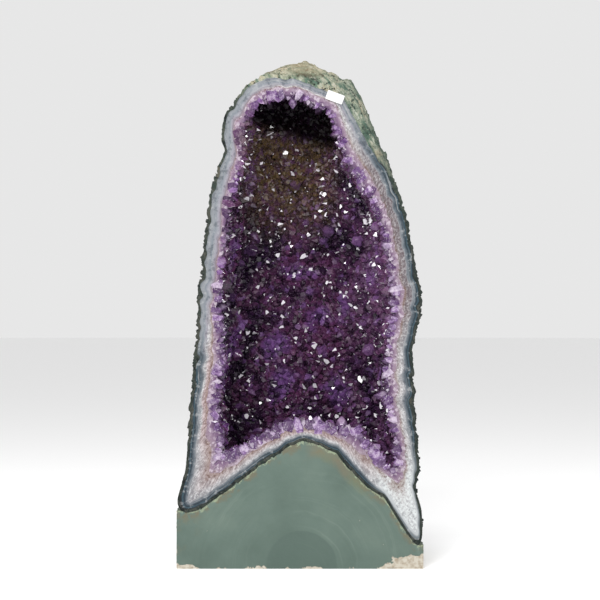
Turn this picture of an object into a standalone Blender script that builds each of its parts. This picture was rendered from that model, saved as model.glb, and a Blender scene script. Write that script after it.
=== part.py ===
"""Amethyst cathedral geode on a cast base.

Metres, +Z up. The sawn face looks along -Y and +X is to the right of someone facing it. The origin
is on the floor, in the middle of the part's box. A geode grows in layers from its rock skin
inwards: basalt rind, agate band, white quartz, then the bed of amethyst. Each layer here is a bowl
that opens at the sawn face, and each bowl fits inside the one before it.
"""

import math
import random

import bmesh
import bpy
from mathutils import Matrix, Vector

# Driving dimensions
HEIGHT = 0.606
WIDTH = 0.293
DEPTH = 0.206

# Clearances between neighbouring solids
GAP = 0.0003
SEAT_GAP = 0.0005

# Price label, a plain blank one
LABEL_SIZE = (0.021, 0.011)
LABEL_THICK = 0.0003
LABEL_PLACE = (0.0415, 0.5595)
LABEL_TURN = math.radians(-20.5)

FRONT = -DEPTH / 2 + LABEL_THICK + GAP
BACK = DEPTH / 2
REACH = BACK - FRONT
HALF = WIDTH / 2

# The rim as seen from the front: x as a share of half the width, z as a share of the height.
# It starts at the foot of the left wall, goes up and round to the foot of the right wall, and
# comes back over the mound in the floor.
WALL_OUTLINE = [
    (-0.992, 0.137), (-0.926, 0.198), (-0.902, 0.283), (-0.877, 0.372), (-0.836, 0.471),
    (-0.828, 0.535), (-0.787, 0.614), (-0.746, 0.709), (-0.680, 0.776), (-0.612, 0.820),
    (-0.640, 0.842), (-0.607, 0.887), (-0.467, 0.937), (-0.311, 0.974), (-0.115, 0.998),
    (0.040, 1.000), (0.175, 0.991), (0.310, 0.974), (0.443, 0.958), (0.533, 0.919),
    (0.639, 0.851), (0.754, 0.778), (0.844, 0.705), (0.910, 0.630), (0.984, 0.540),
    (0.980, 0.493), (0.922, 0.442), (0.926, 0.343), (0.951, 0.253), (0.970, 0.198),
    (0.940, 0.158), (0.984, 0.115), (0.990, 0.064),
]
MOUND_OUTLINE = [
    (0.950, 0.046), (0.852, 0.074), (0.764, 0.107), (0.680, 0.139), (0.557, 0.158),
    (0.410, 0.192), (0.279, 0.228), (0.148, 0.241), (0.016, 0.251), (-0.164, 0.228),
    (-0.344, 0.198), (-0.525, 0.164), (-0.689, 0.137), (-0.795, 0.118), (-0.893, 0.111),
    (-0.972, 0.116),
]
CENTRE = (0.0, 0.50 * HEIGHT)

# Every section behind the sawn face is the rim drawn in towards the centre, on a blunt curve. The
# curve is blunter below, where the geode sits in its base, and the mound dies away behind the face.
CROWN_BLUNTNESS = 2.5
FLOOR_BLUNTNESS = 6.0
FLOOR_ANGLES = (185, 228, 308, 352)
SECTION_DEPTHS = (0.0, 0.08, 0.22, 0.42, 0.62, 0.80, 0.90, 0.975)
BASE_SECTIONS = 7
MOUND_FADE = (0.010, 0.100)

# How far the rough outer rock stands back from the sawn face at the crown: angle and distance
CROWN_SHOULDER = [
    (50, 0.0), (56, 0.002), (60, 0.005), (64, 0.009), (68, 0.013), (72, 0.0155), (76, 0.019),
    (80, 0.021), (86, 0.025), (89, 0.024), (92.6, 0.019), (96, 0.011), (99, 0.005), (102, 0.0),
]
SHOULDER_DEPTH = 0.036

# Layer thicknesses at the sawn face, and at the back of the bowl
RIND_THICK, RIND_BACK = 0.0030, 0.012
AGATE_THICK, AGATE_BACK = 0.0080, 0.009
QUARTZ_THICK, QUARTZ_BACK = 0.0078, 0.010
BED_THICK, BED_BACK = 0.0092, 0.010
POINT_HEIGHT = (0.004, 0.009)
CORNER_FILL = 0.010
OFFSET_STEP = 0.00004

# Crystals that stand clear of the bed: angle round the rim, depth share, length, width
SILL_CRYSTALS = [
    (246.0, 0.060, 0.013, 0.009), (251.0, 0.125, 0.015, 0.011), (255.6, 0.055, 0.013, 0.009),
    (260.6, 0.115, 0.022, 0.013), (266.0, 0.055, 0.016, 0.010), (272.0, 0.115, 0.019, 0.012),
    (278.0, 0.055, 0.015, 0.010), (284.0, 0.120, 0.017, 0.012), (289.6, 0.060, 0.020, 0.011),
    (294.6, 0.130, 0.015, 0.011), (298.4, 0.060, 0.013, 0.009),
]
CROWN_CRYSTALS = [
    (78.0, 0.060, 0.014, 0.010), (84.5, 0.080, 0.015, 0.011), (91.8, 0.060, 0.018, 0.011),
    (98.5, 0.090, 0.015, 0.011),
]
WALL_CRYSTALS = [
    (318.0, 0.070, 0.024, 0.012), (338.0, 0.120, 0.018, 0.013), (356.0, 0.080, 0.016, 0.012),
    (14.0, 0.150, 0.020, 0.014), (32.0, 0.080, 0.016, 0.012), (48.0, 0.140, 0.018, 0.012),
    (122.0, 0.130, 0.018, 0.012), (142.0, 0.080, 0.016, 0.012), (160.0, 0.160, 0.020, 0.013),
    (176.0, 0.080, 0.017, 0.012), (194.0, 0.150, 0.020, 0.013), (212.0, 0.080, 0.017, 0.012),
    (228.0, 0.140, 0.018, 0.012),
]
BACK_CRYSTALS = [
    (70.0, 0.880, 0.024, 0.017), (92.0, 0.860, 0.022, 0.016), (50.0, 0.700, 0.022, 0.016),
    (130.0, 0.760, 0.022, 0.016), (210.0, 0.800, 0.024, 0.017), (285.0, 0.860, 0.022, 0.016),
    (335.0, 0.780, 0.022, 0.016),
]
CRYSTAL_ROOT = 0.0030
CRYSTAL_LEAN = 0.18


def clear_scene():
    """Remove whatever the file opened with."""
    for thing in list(bpy.data.objects):
        bpy.data.objects.remove(thing)


def paint(name, colour, roughness):
    """A plain Principled material."""
    material = bpy.data.materials.new(name)
    material.use_nodes = True
    shader = material.node_tree.nodes["Principled BSDF"]
    shader.inputs["Base Color"].default_value = (*colour, 1.0)
    shader.inputs["Roughness"].default_value = roughness
    shader.inputs["Metallic"].default_value = 0.0
    return material


def add_solid(name, points, faces, material):
    """One closed mesh object in the scene."""
    mesh = bpy.data.meshes.new(name)
    mesh.from_pydata([tuple(p) for p in points], [], faces)
    mesh.materials.append(material)
    solid = bpy.data.objects.new(name, mesh)
    bpy.context.scene.collection.objects.link(solid)
    shape = bmesh.new()
    shape.from_mesh(mesh)
    bmesh.ops.recalc_face_normals(shape, faces=shape.faces)
    shape.to_mesh(mesh)
    shape.free()
    return solid


def rim_points():
    """The rim's outline in metres, walls first and then the mound."""
    return [(x * HALF, z * HEIGHT) for x, z in WALL_OUTLINE + MOUND_OUTLINE]


def angle_of(point):
    """Angle of a rim point round the centre, in degrees from 0 to 360."""
    return math.degrees(math.atan2(point[1] - CENTRE[1], point[0] - CENTRE[0])) % 360


def between(table, angle):
    """A smooth value read from (angle, value) pairs, and 0 outside them."""
    for (a, low), (b, high) in zip(table, table[1:]):
        if a <= angle <= b:
            share = (angle - a) / (b - a)
            return low + (high - low) * share * share * (3 - 2 * share)
    return 0.0


def ease(share):
    """A smooth step from 0 to 1."""
    share = min(1.0, max(0.0, share))
    return share * share * (3 - 2 * share)


def swell(angle, middle, spread):
    """1 at the middle angle, falling smoothly to 0 at several spreads away."""
    away = (angle - middle + 180) % 360 - 180
    return math.exp(-((away / spread) ** 2))


def distance_to(outline, x, z):
    """Shortest distance from a point to a closed outline."""
    best = math.inf
    for (ax, az), (bx, bz) in zip(outline, outline[1:] + outline[:1]):
        run, rise = bx - ax, bz - az
        share = ((x - ax) * run + (z - az) * rise) / (run * run + rise * rise)
        share = min(1.0, max(0.0, share))
        best = min(best, math.hypot(x - ax - share * run, z - az - share * rise))
    return best


def layer_depths(angle):
    """How deep each layer's inner face lies behind the rim's edge at this angle."""
    left_foot, right_foot = angle_of(MOUND[-1]), angle_of(RIGHT_FOOT)
    corner = max(swell(angle, left_foot, 5), swell(angle, right_foot, 5))
    sill = swell(angle, 270, 17)
    upper_left = ease((angle - 72) / 12) * ease((200 - angle) / 30)
    rind = RIND_THICK + between(CROWN_SHOULDER, angle)
    agate = rind + AGATE_THICK * (1 + 0.35 * swell(angle, 140, 30) - 0.2 * swell(angle, 86, 10) - 0.3 * sill)
    quartz = agate + QUARTZ_THICK * (1 - 0.75 * upper_left - 0.3 * sill) + CORNER_FILL * corner
    bed = quartz + BED_THICK * (1 - 0.35 * swell(angle, 150, 34) - 0.45 * sill)
    return rind, agate, quartz, bed


def drawn_in(outline, depths):
    """The outline moved inwards along the rays to the centre, by its own distance at each point."""
    inner = []
    for point, depth in zip(outline, depths):
        reach = math.dist(point, CENTRE)
        along = ((CENTRE[0] - point[0]) / reach, (CENTRE[1] - point[1]) / reach)
        travel = depth
        while distance_to(outline, point[0] + along[0] * travel, point[1] + along[1] * travel) < depth:
            travel += OFFSET_STEP
        inner.append((point[0] + along[0] * travel, point[1] + along[1] * travel))
    return inner


def shrink_at(share, angle):
    """How much smaller a section is than the rim, at a share of the bowl's depth."""
    start, full, last, end = FLOOR_ANGLES
    below = ease((angle - start) / (full - start)) * ease((end - angle) / (end - last))
    blunt = CROWN_BLUNTNESS + (FLOOR_BLUNTNESS - CROWN_BLUNTNESS) * below
    return (1 - share**blunt) ** (1 / blunt)


def ray_hit(outline, angle):
    """The point where a ray from the centre leaves an outline."""
    angles = [angle_of(p) for p in outline]
    for index, start in enumerate(angles):
        after = (index + 1) % len(outline)
        span = (start - angles[after] + 180) % 360 - 180
        turn = (start - angle) % 360
        if 0 <= turn <= span:
            (ax, az), (bx, bz) = outline[index], outline[after]
            dx, dz = math.cos(math.radians(angle)), math.sin(math.radians(angle))
            across = (bx - ax) * dz - (bz - az) * dx
            part = -((ax - CENTRE[0]) * dz - (az - CENTRE[1]) * dx) / across
            return ax + (bx - ax) * part, az + (bz - az) * part
    raise ValueError("the ray misses the outline")


def mound_drop(angle):
    """How far the mound stands up, along a ray, from the straight line between the rim's feet."""
    left, right = MOUND[-1], RIGHT_FOOT
    if not angle_of(left) < angle < angle_of(right):
        return 0.0
    straight = ray_hit([left, right, (right[0], HEIGHT), (left[0], HEIGHT)][::-1], angle)
    return math.dist(straight, CENTRE) - math.dist(ray_hit(RIM, angle), CENTRE)


def section(outline, reach, share):
    """A bowl's outline at a share of its depth."""
    y = FRONT + reach * share
    fade = ease((reach * share - MOUND_FADE[0]) / (MOUND_FADE[1] - MOUND_FADE[0]))
    places = []
    for point in outline:
        angle = angle_of(point)
        radius = (math.dist(point, CENTRE) + mound_drop(angle) * fade) * shrink_at(share, angle)
        turn = math.radians(angle)
        places.append(Vector((CENTRE[0] + radius * math.cos(turn), y, CENTRE[1] + radius * math.sin(turn))))
    return places


def bowl(outline, reach):
    """All of a bowl's sections, and the point where it closes at the back."""
    rings = [section(outline, reach, share) for share in SECTION_DEPTHS]
    return rings, Vector((CENTRE[0], FRONT + reach, CENTRE[1]))


def rough_bowl(outline, reach):
    """The rind's outer skin, which stands back from the sawn face at the crown."""
    rings, end = bowl(outline, reach)
    insets = [between(CROWN_SHOULDER, angle_of(p)) for p in outline]
    for ring, share in zip(rings, SECTION_DEPTHS):
        left = max(0.0, 1 - reach * share / SHOULDER_DEPTH)
        if left == 0:
            continue
        rim = drawn_in(outline, [inset * left**1.6 + 1e-5 for inset in insets])
        for index, place in enumerate(section(rim, reach, share)):
            if insets[index] > 0:
                ring[index] = place
    return rings, end


def strips(start, rings, close_at):
    """Triangles between rings of one count, then a fan to the closing point."""
    count = len(rings[0])
    faces = []
    for level in range(len(rings) - 1):
        for index in range(count):
            a = start + level * count + index
            b = start + level * count + (index + 1) % count
            faces += [(a, b, b + count), (a, b + count, a + count)]
    last = start + (len(rings) - 1) * count
    faces += [(last + i, last + (i + 1) % count, close_at) for i in range(count)]
    return faces


def layer(name, outer, inner, material):
    """A closed bowl-shaped layer between two bowls, with its sawn ring at the front."""
    (outer_rings, outer_end), (inner_rings, inner_end) = outer, inner
    count = len(outer_rings[0])
    points = [p for ring in outer_rings for p in ring] + [outer_end]
    second = len(points)
    points += [p for ring in inner_rings for p in ring] + [inner_end]
    faces = strips(0, outer_rings, second - 1)
    faces += [face[::-1] for face in strips(second, inner_rings, len(points) - 1)]
    for index in range(count):
        after = (index + 1) % count
        faces += [(index, second + index, second + after), (index, second + after, after)]
    return add_solid(name, points, faces, material)


def crystal_bed(name, outer, inner, material):
    """The amethyst bed: smooth where it meets the quartz, set with low points inside."""
    (outer_rings, outer_end), (inner_rings, inner_end) = outer, inner
    count = len(outer_rings[0])
    points = [p for ring in outer_rings for p in ring] + [outer_end]
    second = len(points)
    points += [p for ring in inner_rings for p in ring] + [inner_end]
    end = len(points) - 1
    faces = strips(0, outer_rings, second - 1)
    last = second + (len(inner_rings) - 1) * count
    faces += [(last + (i + 1) % count, last + i, end) for i in range(count)]
    chance = random.Random(7)
    for level in range(len(inner_rings) - 1):
        for index in range(count):
            a = second + level * count + index
            b = second + level * count + (index + 1) % count
            corners = (a, a + count, b + count, b)
            places = [points[c] for c in corners]
            middle = sum(places, Vector()) / 4
            facing = (places[1] - places[3]).cross(places[2] - places[0]).normalized()
            if facing.dot(Vector((CENTRE[0], middle.y, CENTRE[1])) - middle) < 0:
                facing = -facing
            shortest = min((places[i] - places[i - 1]).length for i in range(4))
            rise = min(chance.uniform(*POINT_HEIGHT), 0.45 * shortest)
            points.append(middle + facing * rise)
            tip = len(points) - 1
            faces += [(corners[i - 1], corners[i], tip) for i in range(4)]
    for index in range(count):
        after = (index + 1) % count
        faces += [(index, second + index, second + after), (index, second + after, after)]
    return add_solid(name, points, faces, material)


def base_block(material):
    """The cast base: a D in plan, filled up to the geode's floor, with a flat underside."""
    sections = []
    for share in SECTION_DEPTHS[:BASE_SECTIONS]:
        y = FRONT + REACH * share
        top = [place - Vector((0, 0, SEAT_GAP)) for place in section(MOUND, REACH, share)]
        edge = HALF * shrink_at(share, 270)
        right = [Vector((edge, y, 0)), Vector((edge, y, top[0].z))]
        left = [Vector((-edge, y, top[-1].z)), Vector((-edge, y, 0))]
        sections.append(right + top + left)
    count = len(sections[0])
    points = [p for ring in sections for p in ring]
    faces = []
    for level in range(len(sections) - 1):
        for index in range(count - 1):
            a = level * count + index
            faces += [(a, a + 1, a + 1 + count), (a, a + 1 + count, a + count)]
    last = (len(sections) - 1) * count
    faces.append(tuple(range(count)))
    faces.append(tuple(range(last, last + count)))
    right_edge = [level * count for level in range(len(sections))]
    left_edge = [level * count + count - 1 for level in range(len(sections))]
    faces.append(tuple(right_edge + left_edge[::-1]))
    return add_solid("base_block", points, faces, material)


def bed_point(outline, reach, angle, share):
    """The place on a bowl at an angle round the rim and a share of its depth."""
    return section([ray_hit(outline, angle % 360)], reach, share)[0]


def crystal(name, outline, reach, place, material, grow=0.0):
    """A six-sided quartz point: a prism from its root in the bed, and a six-faced tip."""
    angle, share, length, width = place
    foot = bed_point(outline, reach, angle, share)
    beside = bed_point(outline, reach, angle + 2, share) - bed_point(outline, reach, angle - 2, share)
    inward = bed_point(outline, reach, angle, share + 0.05) - bed_point(outline, reach, angle, share - 0.05)
    facing = beside.cross(inward).normalized()
    if facing.dot(Vector((0, foot.y, CENTRE[1])) - foot) < 0:
        facing = -facing
    facing = (facing + Vector((0, -CRYSTAL_LEAN * share, 0))).normalized()
    side = facing.orthogonal().normalized()
    turn = Matrix.Rotation(math.radians(angle * 7), 3, facing)
    side = turn @ side
    up = facing.cross(side)
    radius = width / 2 + grow
    root = foot - facing * (CRYSTAL_ROOT + grow)
    shoulder = length - width * 0.75 + CRYSTAL_ROOT - length * 0.25
    points = []
    for height in (0.0, shoulder):
        for corner in range(6):
            around = math.radians(60 * corner)
            out = side * math.cos(around) + up * math.sin(around)
            points.append(root + facing * height + out * radius)
    points.append(root + facing * (length + 2 * grow) + side * width * 0.08)
    faces = [tuple(range(5, -1, -1))]
    faces += [(i, (i + 1) % 6, 6 + (i + 1) % 6, 6 + i) for i in range(6)]
    faces += [(6 + i, 6 + (i + 1) % 6, 12) for i in range(6)]
    return add_solid(name, points, faces, material)


def cut_sockets(bed, sockets):
    """Sink the roots of the free-standing crystals into the bed."""
    for socket in sockets:
        socket.hide_render = True
        socket.display_type = "WIRE"
        cut = bed.modifiers.new(socket.name, "BOOLEAN")
        cut.operation = "DIFFERENCE"
        cut.object = socket


def price_label(material):
    """A blank price-gun label stuck flat on the rim."""
    wide, tall = LABEL_SIZE
    bpy.ops.mesh.primitive_cube_add(size=1)
    label = bpy.context.object
    label.name = "price_label"
    label.data.name = "price_label"
    label.scale = (wide, LABEL_THICK, tall)
    bpy.ops.object.transform_apply(location=False, rotation=False, scale=True)
    label.rotation_euler = (0, -LABEL_TURN, 0)
    label.location = (LABEL_PLACE[0], -DEPTH / 2 + LABEL_THICK / 2, LABEL_PLACE[1])
    label.data.materials.append(material)
    return label


RIM = rim_points()
MOUND = RIM[len(WALL_OUTLINE):]
RIGHT_FOOT = MOUND[0]


def main():
    clear_scene()
    depths = [layer_depths(angle_of(p)) for p in RIM]
    faces = [drawn_in(RIM, [d[k] for d in depths]) for k in range(4)]
    backs = [RIND_BACK, AGATE_BACK, QUARTZ_BACK, BED_BACK]
    reaches = [REACH - sum(backs[: k + 1]) for k in range(4)]

    def seated(k):
        """The outer bowl of the layer that lies just inside layer k."""
        return bowl(drawn_in(RIM, [d[k] + GAP for d in depths]), reaches[k] - GAP)

    layer("basalt_rind", rough_bowl(RIM, REACH), bowl(faces[0], reaches[0]),
          paint("basalt", (0.20, 0.24, 0.20), 0.9))
    layer("agate_band", seated(0), bowl(faces[1], reaches[1]),
          paint("agate", (0.10, 0.16, 0.20), 0.3))
    layer("quartz_band", seated(1), bowl(faces[2], reaches[2]),
          paint("white_quartz", (0.62, 0.58, 0.56), 0.4))
    amethyst = paint("amethyst", (0.16, 0.06, 0.24), 0.15)
    bed = crystal_bed("amethyst_bed", seated(2), bowl(faces[3], reaches[3]), amethyst)

    sockets = []
    groups = {"sill": SILL_CRYSTALS, "crown": CROWN_CRYSTALS, "wall": WALL_CRYSTALS, "back": BACK_CRYSTALS}
    for group, places in groups.items():
        for number, place in enumerate(places, 1):
            name = f"{group}_crystal_{number:02d}"
            crystal(name, faces[3], reaches[3], place, amethyst)
            sockets.append(crystal(f"{name}_socket", faces[3], reaches[3], place, amethyst, GAP))
    cut_sockets(bed, sockets)

    base_block(paint("painted_cement", (0.15, 0.22, 0.18), 0.75))
    price_label(paint("label_paper", (0.9, 0.9, 0.9), 0.6))


main()
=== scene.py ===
import math
import random

import bmesh
import bpy
import numpy as np
from mathutils import Matrix, Vector, noise
from mathutils.kdtree import KDTree


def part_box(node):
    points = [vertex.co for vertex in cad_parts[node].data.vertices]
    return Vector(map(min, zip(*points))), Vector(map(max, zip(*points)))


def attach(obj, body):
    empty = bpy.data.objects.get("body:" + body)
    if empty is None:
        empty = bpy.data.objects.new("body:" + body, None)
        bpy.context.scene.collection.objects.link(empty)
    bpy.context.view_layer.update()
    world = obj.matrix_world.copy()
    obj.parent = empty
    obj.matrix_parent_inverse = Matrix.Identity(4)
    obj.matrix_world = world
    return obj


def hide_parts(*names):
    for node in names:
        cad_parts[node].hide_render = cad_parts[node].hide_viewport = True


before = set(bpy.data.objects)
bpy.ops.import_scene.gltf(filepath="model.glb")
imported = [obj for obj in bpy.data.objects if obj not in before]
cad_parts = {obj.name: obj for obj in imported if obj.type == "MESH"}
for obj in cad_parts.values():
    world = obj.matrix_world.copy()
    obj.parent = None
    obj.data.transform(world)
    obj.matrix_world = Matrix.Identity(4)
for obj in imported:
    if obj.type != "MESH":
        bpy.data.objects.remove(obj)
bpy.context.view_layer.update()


# ---- Basalt rind ---------------------------------------------------------------------------------
# The skin of host rock that came out of the quarry with the geode. Its inside follows the agate, its
# outside is rough and green-black with weathered clay minerals, and the diamond saw cut its edge flat.

HEIGHT = 0.606
HALF = 0.1465
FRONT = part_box("basalt_rind")[0][1]
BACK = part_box("basalt_rind")[1][1]
REACH = BACK - FRONT
CENTRE_HEIGHT = 0.303
RIM_POINTS = 840
RIND_THICK, RIND_BACK = 0.0030, 0.012
SHOULDER_DEPTH = 0.036
HEAL_DEPTH = 0.016  # how far behind the face the torn outline is whole again
ROUGH_DEPTH = 0.010  # how far behind the face the skin reaches its full roughness
CRUST_TRIES = 520
LAMP_GAIN = 1.85  # how much the studio brightens a finish

# The sawn outline: x as a share of half the width, z as a share of the height
WALL = [
    (-0.992, 0.137), (-0.926, 0.198), (-0.902, 0.283), (-0.877, 0.372), (-0.836, 0.471),
    (-0.828, 0.535), (-0.787, 0.614), (-0.746, 0.709), (-0.680, 0.776), (-0.612, 0.820),
    (-0.640, 0.842), (-0.607, 0.887), (-0.467, 0.937), (-0.311, 0.974), (-0.115, 0.998),
    (0.040, 1.000), (0.175, 0.991), (0.310, 0.974), (0.443, 0.958), (0.533, 0.919),
    (0.639, 0.851), (0.754, 0.778), (0.844, 0.705), (0.910, 0.630), (0.984, 0.540),
    (0.980, 0.493), (0.922, 0.442), (0.926, 0.343), (0.951, 0.253), (0.970, 0.198),
    (0.940, 0.158), (0.984, 0.115), (0.990, 0.064),
]
MOUND = [
    (0.950, 0.046), (0.852, 0.074), (0.764, 0.107), (0.680, 0.139), (0.557, 0.158),
    (0.410, 0.192), (0.279, 0.228), (0.148, 0.241), (0.016, 0.251), (-0.164, 0.228),
    (-0.344, 0.198), (-0.525, 0.164), (-0.689, 0.137), (-0.795, 0.118), (-0.893, 0.111),
    (-0.972, 0.116),
]
# How far the rough rock stands back from the sawn face at the crown: angle, distance
SHOULDER = [
    (50, 0.0), (56, 0.002), (60, 0.005), (64, 0.009), (68, 0.013), (72, 0.0155), (76, 0.019),
    (80, 0.021), (86, 0.025), (89, 0.024), (92.6, 0.019), (96, 0.011), (99, 0.005), (102, 0.0),
]


def sawn_outline():
    """Evenly spaced points on the sawn outline: distance along it, and x and z."""
    corners = [Vector((x * HALF, z * HEIGHT)) for x, z in WALL + MOUND]
    count = len(corners)
    fine = []
    for index in range(count):
        a, b, c, d = (corners[(index + k - 1) % count] for k in range(4))
        for step in range(24):
            t = step / 24
            straight = b.lerp(c, t)
            curved = 0.5 * (2 * b + (c - a) * t + (2 * a - 5 * b + 4 * c - d) * t * t
                            + (3 * b - a - 3 * c + d) * t**3)
            fine.append(straight.lerp(curved, 0.8))
    fine.append(fine[0])
    fine = np.array(fine)
    along = np.r_[0, np.cumsum(np.hypot(*np.diff(fine, axis=0).T))]
    even = np.linspace(0, along[-1], RIM_POINTS, endpoint=False)
    return even, np.interp(even, along, fine[:, 0]), np.interp(even, along, fine[:, 1])


def eased(share):
    share = np.clip(share, 0, 1)
    return share * share * (3 - 2 * share)


def swell(angle, middle, spread):
    """1 at the middle angle, falling smoothly to 0."""
    return np.exp(-(((angle - middle + 180) % 360 - 180) / spread) ** 2)


def waver(seed, length, octaves=3):
    """A smooth wander along the rim, from -1 to 1, that meets itself at the end."""
    turns = 2 * math.pi * arc / arc_end
    ring = arc_end / (2 * math.pi * length)
    return np.array([
        noise.fractal(Vector((math.cos(t) * ring + seed, math.sin(t) * ring, seed)), 0.9, 2.1, octaves)
        for t in turns
    ])


arc, rim_x, rim_z = sawn_outline()
arc_end = arc[-1] + arc[1]
rim_angle = np.degrees(np.arctan2(rim_z - CENTRE_HEIGHT, rim_x)) % 360
rim_radius = np.hypot(rim_x, rim_z - CENTRE_HEIGHT)
ragged = 0.0019 * waver(3, 0.0036, 4) + 0.0013 * waver(5, 0.015)
wall_part = 1 - swell(rim_angle, 236, 6) - swell(rim_angle, 299, 6)
notches = 0.0045 * np.clip(waver(7, 0.0075, 2) - 0.16, 0, 0.5)
notches += 0.0035 * (np.abs(waver(8, 0.011, 3)) < 0.035)
crown_part = swell(rim_angle, 78, 22)
whole_radius = rim_radius.copy()
rim_radius += (ragged - notches * (1 - crown_part)) * np.clip(wall_part, 0, 1)
rim_x = rim_radius * np.cos(np.radians(rim_angle))
rim_z = CENTRE_HEIGHT + rim_radius * np.sin(np.radians(rim_angle))
shoulder = np.interp(rim_angle, *zip(*SHOULDER), left=0, right=0)

edge_tree = KDTree(RIM_POINTS)
for index, (x, z) in enumerate(zip(rim_x, rim_z)):
    edge_tree.insert((x, z, 0), index)
edge_tree.balance()


def drawn_in(depths):
    """Radii of the outline moved inwards by a distance at each of its points."""
    radii = []
    for radius, angle, depth in zip(rim_radius, np.radians(rim_angle), depths):
        travel = depth
        while travel < 0.2:
            r = radius - travel
            spot = (r * math.cos(angle), CENTRE_HEIGHT + r * math.sin(angle), 0)
            if edge_tree.find(spot)[2] >= depth * 0.999:
                break
            travel += 0.0003
        radii.append(radius - travel)
    return np.array(radii)


def smoothed(radii, times=6):
    for _ in range(times):
        radii = 0.5 * radii + 0.25 * np.roll(radii, 1) + 0.25 * np.roll(radii, -1)
    return radii


# The mound in the floor dies away behind the face; each ray's share of that drop
feet = (np.array([MOUND[-1][0] * HALF, MOUND[-1][1] * HEIGHT]),
        np.array([MOUND[0][0] * HALF, MOUND[0][1] * HEIGHT]))
foot_angles = [math.degrees(math.atan2(f[1] - CENTRE_HEIGHT, f[0])) % 360 for f in feet]
run = feet[1] - feet[0]
ray = np.stack([np.cos(np.radians(rim_angle)), np.sin(np.radians(rim_angle))], axis=1)
to_foot = feet[0] - np.array([0, CENTRE_HEIGHT])
straight = (to_foot[0] * run[1] - to_foot[1] * run[0]) / (ray[:, 0] * run[1] - ray[:, 1] * run[0])
in_mound = (rim_angle > foot_angles[0]) & (rim_angle < foot_angles[1])
mound_drop = smoothed(np.where(in_mound, np.maximum(straight - rim_radius, 0), 0))
below = eased((rim_angle - 185) / 43) * eased((352 - rim_angle) / 44)
bluntness = 2.5 + 3.5 * below


def bowl(radii, reach, shares):
    """Rings of a bowl that opens at the sawn face: an array of depth, rim point, coordinate."""
    rings = []
    for share in shares:
        fade = eased((reach * share - 0.010) / 0.090)
        shrink = (1 - share**bluntness) ** (1 / bluntness)
        r = (radii + mound_drop * fade) * shrink
        rings.append(np.stack([r * ray[:, 0], np.full(RIM_POINTS, FRONT + reach * share),
                               CENTRE_HEIGHT + r * ray[:, 1]], axis=1))
    return np.array(rings)


def between_rings(start, rings, flip):
    """Quads between consecutive rings of points."""
    faces = []
    for level in range(rings - 1):
        for index in range(RIM_POINTS):
            a = start + level * RIM_POINTS + index
            b = start + level * RIM_POINTS + (index + 1) % RIM_POINTS
            quad = (a, b, b + RIM_POINTS, a + RIM_POINTS)
            faces.append(quad[::-1] if flip else quad)
    return faces


def placed(name, mesh):
    piece = bpy.data.objects.new(name, mesh)
    bpy.context.scene.collection.objects.link(piece)
    return piece


def finished(name, shape):
    """A piece from a shape that is done with."""
    mesh = bpy.data.meshes.new(name)
    shape.to_mesh(mesh)
    shape.free()
    return placed(name, mesh)


def closed_layer(name, outer, face, inner):
    """One solid: an outer bowl, the sawn face between, and an inner bowl, each a stack of rings."""
    rings = np.concatenate([outer[::-1], face, inner])
    points = rings.reshape(-1, 3)
    faces = between_rings(0, len(rings), False)
    ends = [points[:RIM_POINTS].mean(axis=0), points[-RIM_POINTS:].mean(axis=0)]
    ends[0][1] = outer[-1][0][1] + 0.0012
    ends[1][1] = inner[-1][0][1] + 0.0012
    total = len(points)
    points = np.vstack([points, ends])
    last = total - RIM_POINTS
    for index in range(RIM_POINTS):
        after = (index + 1) % RIM_POINTS
        faces.append((after, index, total))
        faces.append((last + index, last + after, total + 1))
    mesh = bpy.data.meshes.new(name)
    mesh.from_pydata(points.tolist(), [], faces)
    growth = mesh.attributes.new("growth", "FLOAT_VECTOR", "POINT")
    over_face = np.linspace(0, 1, len(face) + 2)[1:-1]
    across = np.concatenate([np.zeros(len(outer)), over_face, np.ones(len(inner))])
    values = np.zeros((len(points), 3))
    values[:total, 0] = np.tile(arc, len(rings))
    values[:total, 1] = np.repeat(across, RIM_POINTS)
    values[total:, 1] = (0, 1)
    growth.data.foreach_set("vector", values.ravel())
    shape = bmesh.new()
    shape.from_mesh(mesh)
    if shape.calc_volume(signed=True) < 0:
        bmesh.ops.reverse_faces(shape, faces=shape.faces)
    shape.to_mesh(mesh)
    shape.free()
    return placed(name, mesh)


def sawn_face(outer, inner, steps, relief, seed):
    """Rings across the sawn face, between two radii, with the saw's fine unevenness."""
    rings = []
    for step in range(1, steps + 1):
        share = step / (steps + 1)
        r = outer + (inner - outer) * share
        x, z = r * ray[:, 0], CENTRE_HEIGHT + r * ray[:, 1]
        lift = [noise.fractal(Vector((u * 260, seed, v * 260)), 0.8, 2, 3) for u, v in zip(x, z)]
        rings.append(np.stack([x, FRONT + relief * np.array(lift), z], axis=1))
    return np.array(rings)


def shade_smooth(piece, degrees=35):
    piece.data.shade_smooth()
    piece.data.set_sharp_from_angle(angle=math.radians(degrees))


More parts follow.
